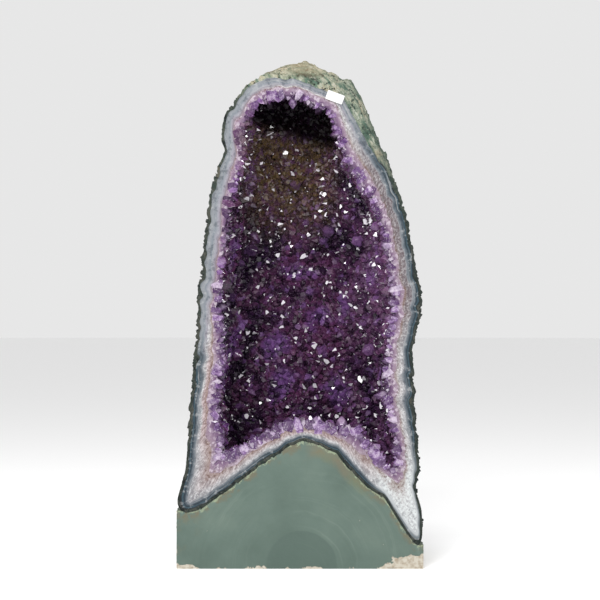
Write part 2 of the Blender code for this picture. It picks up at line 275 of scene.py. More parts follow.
rind_depth = RIND_THICK * (1 + 0.35 * waver(11, 0.012)) + shoulder
rind_inner = smoothed(drawn_in(rind_depth), 3)
quarter = np.linspace(0, math.pi / 2, 62)[:-1]
skin_shares = np.unique(np.clip(np.sin(quarter**1.08 / (math.pi / 2) ** 0.08), 0, 0.992))
skin_depths = REACH * skin_shares
skin = np.concatenate([
    bowl(rim_radius + (whole_radius - rim_radius) * healed, REACH, [share])
    for healed, share in zip(eased(skin_depths / HEAL_DEPTH), skin_shares)
])
crown = np.clip(shoulder / 0.012, 0, 1)
for level, depth in enumerate(skin_depths):
    inset = shoulder * max(0.0, 1 - depth / SHOULDER_DEPTH) ** 1.6 * 1.05
    skin[level, :, 0] -= inset * ray[:, 0]
    skin[level, :, 2] -= inset * ray[:, 1]
    amount = eased(depth / ROUGH_DEPTH)
    deep = eased((depth - 0.045) / 0.05)
    for index in range(RIM_POINTS):
        spot = Vector(skin[level, index])
        lumps = noise.fractal(spot * 42, 0.9, 2.1, 3)
        knobs = noise.fractal(spot * 95 + Vector((3, 8, 1)), 0.9, 2.1, 3)
        grit = noise.fractal(spot * 210 + Vector((9, 2, 5)), 0.8, 2.1, 3)
        pits = noise.cell(spot * 120) - 0.5
        push = amount * (0.0056 * lumps + 0.0030 * knobs + 0.0018 * grit + 0.0010 * pits - 0.0014)
        push = max(push + deep * 0.008 * noise.fractal(spot * 23, 0.9, 2.1, 2), -0.0014)
        push += (1 - amount) * crown[index] * (0.0018 * grit + 0.0020 * lumps)
        away = Vector((spot.x, (spot.y + 0.10) * 0.8, spot.z - CENTRE_HEIGHT)).normalized()
        skin[level, index] = spot + away * push
skin[0, :, 1] = FRONT

hidden_shares = np.array([0.0, 0.05, 0.15, 0.3, 0.45, 0.6, 0.72, 0.82, 0.9, 0.95, 0.985])
inner_reach = REACH - RIND_BACK
rind_hidden = bowl(rind_inner, inner_reach, hidden_shares)
outer_radius = np.hypot(skin[0, :, 0], skin[0, :, 2] - CENTRE_HEIGHT)
rind_face = sawn_face(outer_radius, rind_inner, 2, 0.0003, 4)
rind = closed_layer("rough_basalt_rind", skin, rind_face, rind_hidden)
shade_smooth(rind, 40)

# Crumbs of rock that still cling to the edge
crust = bmesh.new()
chance = random.Random(5)
thickly = waver(13, 0.035)
for _ in range(CRUST_TRIES):
    index = chance.randrange(RIM_POINTS)
    if thickly[index] < chance.uniform(0.10, 0.40) or shoulder[index] > 0.004:
        continue
    if in_mound[index] and not 296 < rim_angle[index] < 320:
        continue
    size = chance.uniform(0.0008, 0.0026)
    depth = chance.uniform(0.6, 5.0) * size
    r = rim_radius[index] - 0.45 * size
    centre = Vector((r * ray[index][0], FRONT + depth, CENTRE_HEIGHT + r * ray[index][1]))
    bit = bmesh.ops.create_icosphere(crust, subdivisions=1, radius=size)["verts"]
    for vert in bit:
        vert.co *= 1 + 0.9 * noise.noise(vert.co * 700 + centre * 800)
        vert.co = centre + Vector((vert.co.x, vert.co.y * 1.3, vert.co.z))
crust_bits = finished("basalt_crust_bits", crust)


def tint(red, green, blue):
    """A finish as it looks under the lamps, 0 to 255, as the shader's own linear colour."""
    parts = [c / 255 for c in (red, green, blue)]
    return (*((p / 12.92 if p <= 0.04045 else ((p + 0.055) / 1.055) ** 2.4) / LAMP_GAIN for p in parts), 1.0)


def add(tree, kind, settings=None, *values, **named):
    """A node with its settings, and its inputs linked or set, in order or by name."""
    made = tree.nodes.new(kind)
    for key, value in (settings or {}).items():
        setattr(made, key, value)
    pairs = list(zip(made.inputs, values))
    pairs += [(made.inputs[key.replace("_", " ")], value) for key, value in named.items()]
    for socket, value in pairs:
        if isinstance(value, bpy.types.NodeSocket):
            tree.links.new(value, socket)
        elif value is not None:
            socket.default_value = value
    return made


def start_material(name, roughness, specular=0.5):
    """A material, its shader, and the place on the piece that its patterns read."""
    material = bpy.data.materials.new(name)
    material.use_nodes = True
    shader = material.node_tree.nodes["Principled BSDF"]
    shader.inputs["Roughness"].default_value = roughness
    shader.inputs["Specular IOR Level"].default_value = specular
    return material, shader, add(material.node_tree, "ShaderNodeTexCoord").outputs["Object"]


def feed(shader, name, value):
    shader.id_data.links.new(value, shader.inputs[name])


def bump(shader, height, distance, strength=1.0):
    made = add(shader.id_data, "ShaderNodeBump", Height=height, Distance=distance, Strength=strength)
    feed(shader, "Normal", made.outputs[0])


def maths(operation, first, second=None):
    owner = first if isinstance(first, bpy.types.NodeSocket) else second
    return add(owner.id_data, "ShaderNodeMath", {"operation": operation}, first, second).outputs[0]


def plus(first, second):
    return maths("ADD", first, second)


def times(value, *others):
    for other in others:
        value = maths("MULTIPLY", value, other)
    return value


def swing(value, reach):
    """A noise moved to swing about 0."""
    return times(maths("SUBTRACT", value, 0.5), reach)


def ranged(value, low, high, start=0.0, end=1.0):
    """Eases from start to end as the value goes from low to high."""
    smooth = {"interpolation_type": "SMOOTHSTEP"}
    return add(value.id_data, "ShaderNodeMapRange", smooth, value, low, high, start, end).outputs[0]


def parts(vector):
    return add(vector.id_data, "ShaderNodeSeparateXYZ", None, vector).outputs[:3]


def grain(vector, scale, detail=4.0, rough=0.55):
    made = add(vector.id_data, "ShaderNodeTexNoise", Vector=vector, Scale=scale, Detail=detail, Roughness=rough)
    return made.outputs[0]


def blended(share, first, second):
    """Two colours mixed, by a share of the second."""
    made = add(share.id_data, "ShaderNodeMix", {"data_type": "RGBA"}, share)
    for socket, value in ((made.inputs[6], first), (made.inputs[7], second)):
        if isinstance(value, bpy.types.NodeSocket):
            share.id_data.links.new(value, socket)
        else:
            socket.default_value = value
    return made.outputs[2]


def stained(colour, share, *finish):
    """A colour with a share of another finish over it."""
    return blended(share, colour, tint(*finish))


def ramp(value, *stops):
    """Finishes at marks along a value: each stop is its mark, then red, green and blue."""
    made = add(value.id_data, "ShaderNodeValToRGB", None, value)
    marks = made.color_ramp.elements
    while len(marks) < len(stops):
        marks.new(0.5)
    for mark, (position, *finish) in zip(marks, stops):
        mark.position = position
        mark.color = tint(*finish)
    return made.outputs[0]


basalt, shader, place = start_material("weathered_basalt", 0.85, 0.2)
x, y, z = parts(place)
patches = grain(place, 34, 6, 0.65)
flecks = grain(place, 190, 5, 0.7)
bedding = add(shader.id_data, "ShaderNodeMapping", {"vector_type": "TEXTURE"}, Vector=place,
              Rotation=(0, math.radians(60), 0), Scale=(4.0, 1.4, 1.0)).outputs[0]
streaks = grain(bedding, 190, 5, 0.7)
rock = ramp(patches, (0.34, 56, 70, 60), (0.44, 130, 146, 126), (0.54, 182, 188, 166), (0.66, 216, 204, 174))
rock = stained(rock, ranged(streaks, 0.50, 0.58, 0.0, 0.85), 98, 130, 112)
rock = stained(rock, ranged(streaks, 0.44, 0.36, 0.0, 0.75), 226, 228, 214)
rock = stained(rock, ranged(flecks, 0.57, 0.66), 212, 208, 188)
rock = stained(rock, ranged(flecks, 0.46, 0.38), 30, 40, 36)
rock = stained(rock, times(ranged(z, 0.578, 0.600), ranged(patches, 0.62, 0.44, 0.15, 0.60)), 206, 186, 150)
rock = stained(rock, times(ranged(x, 0.030, 0.060), ranged(streaks, 0.42, 0.58, 0.15, 0.62)), 84, 108, 96)
dark_side = times(ranged(plus(z, swing(grain(place, 8, 4), 0.30)), 0.53, 0.41), 0.86)
dark_side = maths("MAXIMUM", dark_side, ranged(x, -0.045, -0.085, 0.0, 0.8))
rock = blended(dark_side, rock, blended(patches, tint(6, 9, 12), tint(46, 54, 56)))
feed(shader, "Base Color", rock)
bump(shader, plus(flecks, streaks), 0.0032)

rind.data.materials.append(basalt)
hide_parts("basalt_rind")
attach(rind, "root")
crust_bits.data.materials.append(basalt)
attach(crust_bits, "root")


# ---- Agate band ----------------------------------------------------------------------------------
# Chalcedony laid down first against the rock, in fine bands that follow the wall. It is blue-grey,
# pale on the upper left and nearly navy on the right, on the lower left and over the mound.

AGATE_THICK, AGATE_BACK = 0.0080, 0.009

sill = swell(rim_angle, 270, 17)
agate_depth = rind_depth + AGATE_THICK * (
    1 + 0.35 * swell(rim_angle, 140, 30) - 0.2 * swell(rim_angle, 86, 10) - 0.52 * sill
    - 0.62 * swell(rim_angle, 301, 10) + 0.16 * waver(21, 0.03) + 0.08 * waver(22, 0.006)
)
agate_inner = smoothed(drawn_in(agate_depth), 4)
agate_reach = inner_reach - AGATE_BACK
agate = closed_layer(
    "agate_layer",
    bowl(rind_inner, inner_reach, hidden_shares),
    sawn_face(rind_inner, agate_inner, 7, 0.00012, 8),
    bowl(agate_inner, agate_reach, hidden_shares),
)
shade_smooth(agate)


def growth_of(shader):
    """A layer's growth attribute, and the share of the way across the layer from the rock."""
    growth = add(shader.id_data, "ShaderNodeAttribute", {"attribute_name": "growth"}).outputs["Vector"]
    return growth, parts(growth)[1]


def scaled(vector, by):
    return add(vector.id_data, "ShaderNodeVectorMath", {"operation": "MULTIPLY"}, vector, by).outputs[0]


def white_corner(x, z):
    """1 in the wedge at the lower right, fading above it and to its left."""
    return times(ranged(x, 0.080, 0.104), ranged(z, 0.150, 0.105))


chalcedony, shader, place = start_material("banded_agate", 0.32, 0.25)
x, y, z = parts(place)
growth, inward = growth_of(shader)
across = plus(inward, swing(grain(place, 55, 4), 0.35))
lines = ranged(maths("SINE", times(across, 58.0)), -1, 1)
slow = grain(scaled(growth, (1.0, 0.25, 0.0)), 16, 3, 0.5)
mottle = grain(place, 150, 5, 0.7)
pale = ramp(across, (0.00, 104, 114, 118), (0.25, 142, 147, 152), (0.55, 124, 134, 142),
            (0.80, 156, 156, 165), (1.0, 150, 142, 155))
deep = ramp(across, (0.05, 10, 16, 22), (0.22, 62, 90, 102), (0.40, 30, 44, 56),
            (0.58, 84, 98, 108), (0.78, 118, 124, 132), (1.0, 158, 160, 164))
pale = stained(pale, times(lines, 0.22), 188, 184, 194)
deep = stained(deep, times(lines, 0.22), 20, 28, 42)
lower = ranged(plus(z, times(slow, 0.05)), 0.315, 0.255)
pale_part = times(ranged(x, 0.02, -0.06), maths("SUBTRACT", 1.0, lower))
pale_part = maths("MAXIMUM", pale_part, times(ranged(z, 0.47, 0.54), 0.85))
stone = blended(pale_part, deep, pale)
stone = stained(stone, ranged(slow, 0.54, 0.70, 0.0, 0.75), 168, 170, 172)
stone = stained(stone, ranged(mottle, 0.54, 0.66, 0.0, 0.55), 186, 188, 190)
stone = stained(stone, ranged(mottle, 0.46, 0.38, 0.0, 0.45), 36, 46, 58)
stone = stained(stone, times(white_corner(x, z), ranged(across, 0.2, 0.7, 0.25, 0.9)), 204, 208, 210)
feed(shader, "Base Color", stone)
feed(shader, "Roughness", ranged(grain(place, 320, 3), 0.3, 0.7, 0.34, 0.55))
bump(shader, grain(place, 420, 4), 0.0002, 0.5)

agate.data.materials.append(chalcedony)
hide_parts("agate_band")
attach(agate, "root")


# ---- White quartz band ---------------------------------------------------------------------------
# Milky comb quartz that grew on the agate, its fibres square to the wall. Cream and white, stained
# brown in specks where the amethyst begins, and filling both bottom corners of the hollow.

QUARTZ_THICK, QUARTZ_BACK = 0.0078, 0.010

upper_left = eased((rim_angle - 72) / 12) * eased((200 - rim_angle) / 30)
corner = np.maximum(swell(rim_angle, foot_angles[0], 5), swell(rim_angle, foot_angles[1], 5))
quartz_depth = agate_depth + 0.010 * corner + QUARTZ_THICK * (
    1 - 0.75 * upper_left + 0.1 * sill
    + (1 - upper_left) * (0.22 * waver(31, 0.022) + 0.12 * waver(32, 0.005))
)
quartz_inner = smoothed(drawn_in(quartz_depth), 4)
quartz_reach = agate_reach - QUARTZ_BACK
quartz = closed_layer(
    "white_quartz_layer",
    bowl(agate_inner, agate_reach, hidden_shares),
    sawn_face(agate_inner, quartz_inner, 7, 0.00025, 12),
    bowl(quartz_inner, quartz_reach, hidden_shares),
)
shade_smooth(quartz)


def cells(place, scale):
    """A random shade for each little cell."""
    tree = place.id_data
    colour = add(tree, "ShaderNodeTexVoronoi", Vector=place, Scale=scale).outputs["Color"]
    return add(tree, "ShaderNodeSeparateColor", None, colour).outputs[0]


milky, shader, place = start_material("milky_quartz", 0.45, 0.3)
x, y, z = parts(place)
growth, inward = growth_of(shader)
fibres = grain(scaled(growth, (300.0, 3.0, 0.0)), 1.0, 5, 0.7)
cloud = grain(place, 90, 5, 0.6)
sugar = cells(place, 620.0)
crumbs = grain(place, 330, 3, 0.8)
white = ramp(inward, (0.0, 158, 160, 164), (0.25, 184, 184, 186), (0.62, 190, 182, 180), (1.0, 160, 140, 152))
white = stained(white, ranged(fibres, 0.42, 0.64, 0.0, 0.70), 244, 242, 244)
white = stained(white, ranged(fibres, 0.46, 0.34, 0.0, 0.65), 118, 112, 118)
white = stained(white, ranged(cloud, 0.52, 0.38, 0.0, 0.60), 126, 124, 128)
white = stained(white, times(sugar, 0.36), 112, 106, 114)
white = stained(white, ranged(crumbs, 0.53, 0.66, 0.0, 0.30), 112, 112, 118)
white = stained(white, ranged(crumbs, 0.46, 0.36, 0.0, 0.45), 250, 250, 250)
white = stained(white, times(white_corner(x, z), ranged(crumbs, 0.60, 0.40, 0.25, 0.85)), 240, 246, 246)
dusky = times(ranged(x, 0.05, 0.09), ranged(z, 0.24, 0.32), ranged(fibres, 0.62, 0.40, 0.42, 0.95))
white = stained(white, dusky, 98, 82, 88)
white = stained(white, times(ranged(x, -0.02, -0.06), ranged(z, 0.26, 0.34), 0.75), 124, 110, 126)
over_mound = times(ranged(z, 0.285, 0.235), ranged(x, 0.105, 0.070), ranged(inward, 0.10, 0.55),
                   ranged(z, 0.125, 0.175, 0.35, 1.0), 0.75)
rosy = ramp(fibres, (0.38, 118, 88, 84), (0.50, 176, 148, 148), (0.62, 224, 204, 206))
white = blended(over_mound, white, rosy)
stain = times(ranged(inward, 0.55, 0.95), ranged(grain(place, 26, 3), 0.42, 0.58), 0.60)
white = stained(white, stain, 152, 126, 114)
specks = times(ranged(grain(place, 300, 4, 0.7), 0.50, 0.62), ranged(inward, 0.40, 0.95), 0.8)
white = stained(white, specks, 104, 74, 66)
feed(shader, "Base Color", white)
bump(shader, plus(fibres, sugar), 0.0004, 0.6)

quartz.data.materials.append(milky)
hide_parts("quartz_band")
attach(quartz, "root")


# ---- Amethyst bed --------------------------------------------------------------------------------
# The last growth: amethyst, pale and milky at its root and deep violet at its points. The saw went
# through it at the face, and inside the hollow its crystals stand shoulder to shoulder.

BED_THICK, BED_BACK = 0.0092, 0.010

bed_depth = quartz_depth + BED_THICK * (
    1 - 0.50 * swell(rim_angle, 150, 34) - 0.55 * sill + 0.18 * waver(41, 0.016) + 0.10 * waver(42, 0.005)
)
bed_inner = smoothed(drawn_in(bed_depth), 4)
bed_reach = quartz_reach - BED_BACK
lining_shares = np.concatenate([np.linspace(0, 0.9, 30), [0.93, 0.955, 0.975, 0.99]])
lining = bowl(bed_inner, bed_reach, lining_shares)
for level in range(1, len(lining_shares)):
    for index in range(RIM_POINTS):
        spot = Vector(lining[level, index])
        inward = Vector((-spot.x, -0.04, CENTRE_HEIGHT - spot.z)).normalized()
        lining[level, index] = spot + inward * 0.0035 * noise.fractal(spot * 38, 0.9, 2, 3)
bed = closed_layer(
    "amethyst_lining",
    bowl(quartz_inner, quartz_reach, hidden_shares),
    sawn_face(quartz_inner, bed_inner, 8, 0.0005, 16),
    lining,
)
shade_smooth(bed)


def violet(place, tone):
    """Amethyst's colour: lilac at the sawn face, wine to violet inside, rusty in the upper hollow, with painted
    sparkle specks, painted light on the right wall and a painted shadow under the crown.
    """
    x, y, z = parts(place)
    clouds = grain(place, 16, 3)
    fine = grain(place, 120, 4, 0.6)
    painted_sparkle_grain = grain(place, 540, 3, 0.7)
    deep = ramp(clouds, (0.36, 46, 24, 54), (0.45, 86, 50, 88), (0.54, 112, 62, 102), (0.64, 138, 92, 162))
    deep = stained(deep, ranged(tone, 0.0, 0.55, 0.85, 0.0), 20, 10, 26)
    deep = stained(deep, ranged(tone, 0.82, 1.0, 0.0, 0.5), 168, 122, 198)
    deep = stained(deep, times(ranged(x, -0.005, -0.045), ranged(clouds, 0.56, 0.44), 0.5), 26, 18, 40)
    # Painted light: the right wall of the hollow is made lighter, as if the lamps lit it more
    deep = stained(deep, times(ranged(x, 0.040, 0.080), ranged(clouds, 0.42, 0.56), 0.30), 148, 106, 150)
    high = times(ranged(z, 0.37, 0.47), ranged(z, 0.55, 0.51))
    middle = times(ranged(x, -0.085, -0.045), ranged(x, 0.060, 0.020))
    deep = stained(deep, times(high, middle, ranged(fine, 0.40, 0.60, 0.25, 0.95)), 126, 104, 66)
    # Painted sparkle: tiny pale specks stand for glints on the facets, with tiny dark specks between them
    deep = stained(deep, ranged(painted_sparkle_grain, 0.56, 0.68, 0.0, 0.50), 176, 150, 176)
    deep = stained(deep, ranged(painted_sparkle_grain, 0.47, 0.38, 0.0, 0.60), 18, 9, 24)
    # Painted shadow: the crystals just behind the face under the crown go near black, as if shaded by the
    # crown's overhang
    painted_crown_shadow = times(ranged(plus(z, times(x, 0.30)), 0.506, 0.526), ranged(y, FRONT + 0.003, FRONT + 0.010))
    deep = stained(deep, times(painted_crown_shadow, 0.96), 10, 6, 9)
    lilac = ramp(fine, (0.38, 84, 46, 106), (0.50, 146, 110, 164), (0.62, 208, 186, 216))
    lilac = stained(lilac, ranged(tone, 0.0, 0.7, 0.85, 0.0), 72, 36, 84)
    lilac = stained(lilac, ranged(tone, 0.82, 1.0, 0.0, 0.7), 220, 208, 220)
    # Painted sparkle on the lilac crystals as well: pale glint specks and dark specks
    lilac = stained(lilac, ranged(painted_sparkle_grain, 0.56, 0.66, 0.0, 0.50), 244, 236, 244)
    lilac = stained(lilac, ranged(painted_sparkle_grain, 0.46, 0.36, 0.0, 0.45), 78, 42, 92)
    near = ranged(plus(y, times(clouds, 0.012)), FRONT + 0.019, FRONT + 0.005)
    shaded = times(ranged(x, -0.02, -0.07), ranged(z, 0.30, 0.40), 0.75)
    near = times(near, maths("SUBTRACT", 1.0, shaded))
    return blended(near, deep, lilac), fine, near, painted_crown_shadow


def attribute(shader, name):
    return add(shader.id_data, "ShaderNodeAttribute", {"attribute_name": name}).outputs["Fac"]


amethyst, shader, place = start_material("amethyst_points", 0.09)
tone = attribute(shader, "tone")
facet = attribute(shader, "facet")
colour, fine, near, painted_crown_shadow = violet(place, tone)
# Painted glints: a few tip faces, picked by their facet and tone, are coloured near white as if they caught a
# lamp; none in the painted shadow or at the rim
drawn = maths("FRACT", plus(times(facet, 7.31), times(tone, 13.7)))
painted_glints = times(maths("GREATER_THAN", drawn, 0.955), maths("GREATER_THAN", facet, 0.05),
               maths("LESS_THAN", plus(painted_crown_shadow, near), 0.5), 0.95)
feed(shader, "Base Color", blended(painted_glints, colour, (0.90, 0.86, 0.92, 1.0)))
feed(shader, "Roughness", plus(ranged(fine, 0.35, 0.65, 0.04, 0.11), times(near, 0.12)))
# Less shine in the painted shadow under the crown, so that it stays dark
feed(shader, "Specular IOR Level", ranged(painted_crown_shadow, 0.0, 1.0, 0.38, 0.08))
shader.inputs["IOR"].default_value = 1.55

sawn, shader, place = start_material("sawn_amethyst", 0.42, 0.3)
growth, inward = growth_of(shader)
combs = grain(scaled(growth, (240.0, 2.6, 0.0)), 1.0, 5, 0.7)
grit = cells(place, 330.0)
face = ramp(plus(inward, swing(combs, 0.9)), (0.0, 160, 140, 152), (0.25, 158, 134, 154),
            (0.55, 132, 102, 134), (0.95, 90, 58, 98))
face = stained(face, ranged(grit, 0.45, 1.0, 0.0, 0.75), 214, 200, 212)
face = stained(face, ranged(combs, 0.46, 0.36, 0.0, 0.7), 76, 46, 84)
specks = times(ranged(grain(place, 280, 4, 0.7), 0.55, 0.63), ranged(inward, 0.35, 0.0), 0.8)
face = stained(face, specks, 108, 70, 62)
behind = ranged(parts(place)[1], FRONT + 0.001, FRONT + 0.004)
feed(shader, "Base Color", blended(behind, face, violet(place, grit)[0]))
bump(shader, plus(combs, grit), 0.0007, 0.7)

bed.data.materials.append(sawn)
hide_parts("amethyst_bed")
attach(bed, "root")


# ---- Crystal points in the hollow ----------------------------------------------------------------
# Thousands of six-sided points root in the bed and crowd the walls and back. Each ends in three wide
# and three narrow faces, leans its own way, and is cut off flush where it meets the saw's plane.

KINDS = 9
TIP_SLOPE = math.radians(38.2)
CROWDING = 60000.0  # points tried for each square metre
ALL_ROUND, OVER_MOUND = (-1, 361), (238, 300)  # parts of the rim, in degrees


def quartz_form(name, chance, painted_glints=True):
    """A unit quartz point, 1 across, standing on z = -0.6: planes cut from a block."""
    form = bmesh.new()
    bmesh.ops.create_cube(form, size=1, matrix=Matrix.Diagonal((1.6, 1.6, 2.6, 1)))
    cuts = []
    for side in range(6):
        turn = math.radians(60 * side)
        out = Vector((math.cos(turn), math.sin(turn), 0))
        cuts.append((out * chance.uniform(0.36, 0.50), out))
        wide = chance.uniform(0.00, 0.12) if side % 2 else chance.uniform(0.08, 0.30)
        slope = (out * math.cos(TIP_SLOPE) + Vector((0, 0, math.sin(TIP_SLOPE)))).normalized()
        cuts.append((Vector((0, 0, 0.62 + wide)), slope))
    cuts.append((Vector((0, 0, -0.6)), Vector((0, 0, -1))))
    for spot, facing in cuts:
        everything = form.verts[:] + form.edges[:] + form.faces[:]
        cut = bmesh.ops.bisect_plane(form, geom=everything, plane_co=spot, plane_no=facing,
                                     clear_outer=True)
        edges = [e for e in cut["geom_cut"] if isinstance(e, bmesh.types.BMEdge)]
        if len(edges) > 2:
            bmesh.ops.contextual_create(form, geom=edges)
    bmesh.ops.remove_doubles(form, verts=form.verts, dist=0.004)
    bmesh.ops.recalc_face_normals(form, faces=form.faces)
    mesh = bpy.data.meshes.new(name)
    form.to_mesh(mesh)
    form.free()
    # Each tip face gets a random facet value that picks the faces painted as glints; the other faces get 0
    facet = mesh.attributes.new("facet", "FLOAT", "FACE")
    for value, face in zip(facet.data, mesh.polygons):
        value.value = chance.uniform(0.1, 1.0) if painted_glints and 0.2 < face.normal.z < 0.95 else 0.0
    return mesh


def growth_tree():
    """Scatters forms over a surface, each square to it and then leaning and turned by chance."""
    tree = bpy.data.node_groups.new("crystal_growth", "GeometryNodeTree")
    names = {
        "Surface": "Geometry", "Forms": "Collection", "Spacing": "Float", "Smallest": "Float",
        "Largest": "Float", "Lean": "Float", "Seed": "Int", "Finish": "Material",
    }
    inputs = {}
    for name, kind in names.items():
        made = tree.interface.new_socket(name=name, in_out="INPUT", socket_type=f"NodeSocket{kind}")
        inputs[name] = made.identifier
    tree.interface.new_socket(name="Crystals", in_out="OUTPUT", socket_type="NodeSocketGeometry")
    entry = tree.nodes.new("NodeGroupInput").outputs
    leave = tree.nodes.new("NodeGroupOutput")
    spread = add(tree, "GeometryNodeDistributePointsOnFaces", {"distribute_method": "POISSON"},
                 Mesh=entry["Surface"], Distance_Min=entry["Spacing"], Density_Max=CROWDING, Seed=entry["Seed"])
    forms = add(tree, "GeometryNodeCollectionInfo", Collection=entry["Forms"], Separate_Children=True,
                Reset_Children=True)
    lean_back = times(entry["Lean"], -1.0)
    low = add(tree, "ShaderNodeCombineXYZ", None, lean_back, lean_back, -math.pi)
    high = add(tree, "ShaderNodeCombineXYZ", None, entry["Lean"], entry["Lean"], math.pi)
    turn = add(tree, "FunctionNodeRandomValue", {"data_type": "FLOAT_VECTOR"}, low.outputs[0], high.outputs[0],
               Seed=entry["Seed"])
    lean = add(tree, "FunctionNodeEulerToRotation", None, turn.outputs[0])
    turned = add(tree, "FunctionNodeRotateRotation", {"rotation_space": "LOCAL"}, spread.outputs["Rotation"],
                 lean.outputs[0])
    size = add(tree, "FunctionNodeRandomValue", {"data_type": "FLOAT"}, None, None, entry["Smallest"],
               entry["Largest"], Seed=5)
    shape = add(tree, "FunctionNodeRandomValue", {"data_type": "FLOAT_VECTOR"}, (0.85, 0.85, 0.85),
                (1.15, 1.15, 1.45), Seed=9)
    scale = add(tree, "ShaderNodeVectorMath", {"operation": "SCALE"}, shape.outputs[0], Scale=size.outputs[1])
    set_out = add(tree, "GeometryNodeInstanceOnPoints", Points=spread.outputs["Points"], Pick_Instance=True,
                  Instance=forms.outputs[0], Rotation=turned.outputs[0], Scale=scale.outputs[0])
    tone = add(tree, "FunctionNodeRandomValue", {"data_type": "FLOAT"}, Seed=17)
    keep = add(tree, "GeometryNodeStoreNamedAttribute", {"data_type": "FLOAT", "domain": "INSTANCE"},
               Geometry=set_out.outputs[0], Name="tone", Value=tone.outputs[1])
    real = add(tree, "GeometryNodeRealizeInstances", Geometry=keep.outputs[0])
    coat = add(tree, "GeometryNodeSetMaterial", Geometry=real.outputs[0], Material=entry["Finish"])
    tree.links.new(coat.outputs[0], leave.inputs[0])
    return tree, inputs


def hollow_surface(name, first, last, along):
    """The lining between two rings, along part of the rim, as a bare surface that faces inwards."""
    rings = lining[first:last]
    points = rings.reshape(-1, 3).tolist()
    faces = between_rings(0, len(rings), False)
    faces = [quad for quad in faces if along[0] < rim_angle[quad[0] % RIM_POINTS] < along[1]]
    if last == len(lining):
        points.append([0, FRONT + bed_reach, CENTRE_HEIGHT])
        start = (len(rings) - 1) * RIM_POINTS
        faces += [(start + i, start + (i + 1) % RIM_POINTS, len(points) - 1) for i in range(RIM_POINTS)]
    mesh = bpy.data.meshes.new(name)
    mesh.from_pydata(points, [], faces)
    mesh.update()
    probe = mesh.polygons[len(faces) // 4]
    if probe.normal.dot(Vector((0, probe.center.y, CENTRE_HEIGHT)) - probe.center) < 0:
        mesh.flip_normals()
    return placed(name, mesh)


def saw_flush(mesh, chance):
    """Cut a mesh of closed crystals at the saw's plane and close each cut."""
    shape = bmesh.new()
    shape.from_mesh(mesh)
    everything = shape.verts[:] + shape.edges[:] + shape.faces[:]
    cut = bmesh.ops.bisect_plane(shape, geom=everything, plane_co=(0, FRONT, 0), plane_no=(0, 1, 0),
                                 clear_inner=True)
    edges = [e for e in cut["geom_cut"] if isinstance(e, bmesh.types.BMEdge)]
    filled = bmesh.ops.holes_fill(shape, edges=edges, sides=0)["faces"]
    # The closed cuts get facet 0, so none of them is painted as a glint
    facet = shape.faces.layers.float["facet"]
    for face in filled:
        face[facet] = 0.0
        lift = chance.uniform(0.0002, 0.0009)
        for vert in face.verts:
            vert.co.y -= lift
    bmesh.ops.recalc_face_normals(shape, faces=shape.faces)
    shape.to_mesh(mesh)
    shape.free()


forms = bpy.data.collections.new("quartz_forms")
bpy.context.scene.collection.children.link(forms)
chance = random.Random(12)
form_objects = []
for kind in range(KINDS):
    form_objects.append(bpy.data.objects.new(f"form_{kind}", quartz_form(f"form_{kind}", chance)))
    forms.objects.link(form_objects[-1])

growing, sockets = growth_tree()
GROWTHS = [
    # name, first ring, last ring, part of the rim, spacing, smallest, largest, lean, seed
    ("rim_points", 0, 4, ALL_ROUND, 0.0046, 0.0054, 0.0102, 0.55, 3),
    ("sill_points", 0, 4, OVER_MOUND, 0.0060, 0.0070, 0.0120, 0.40, 9),
    ("outer_wall_points", 3, 11, ALL_ROUND, 0.0046, 0.0052, 0.0100, 0.65, 6),
    ("inner_wall_points", 10, 18, ALL_ROUND, 0.0046, 0.0052, 0.0102, 0.70, 7),
    ("back_points", 17, len(lining), ALL_ROUND, 0.0048, 0.0056, 0.0112, 0.80, 4),
    ("small_wall_points", 2, 14, ALL_ROUND, 0.0036, 0.0032, 0.0056, 0.85, 5),
    ("small_back_points", 13, len(lining), ALL_ROUND, 0.0036, 0.0032, 0.0058, 0.85, 8),
]
for name, first, last, along, spacing, smallest, largest, lean, seed in GROWTHS:
    surface = hollow_surface(f"{name}_surface", first, last, along)
    grow = surface.modifiers.new("crystal_growth", "NODES")
    grow.node_group = growing
    for key, value in (("Forms", forms), ("Spacing", spacing), ("Smallest", smallest), ("Largest", largest),
                       ("Lean", lean), ("Seed", seed), ("Finish", amethyst)):
        grow[sockets[key]] = value
    seen = surface.evaluated_get(bpy.context.evaluated_depsgraph_get())
    mesh = bpy.data.meshes.new_from_object(seen)
    mesh.name = name
    bpy.data.objects.remove(surface)
    saw_flush(mesh, chance)
    points = placed(name, mesh)
    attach(points, "root")


# ---- Single large crystals -----------------------------------------------------------------------
# The points that outgrew the bed: along the sill over the mound, in the crown, round the walls and
# at the back. Each is rooted in the bed and keeps its own place, length and lean.

SILL_STOUTNESS = 1.35
WORN_EDGE = 0.00025

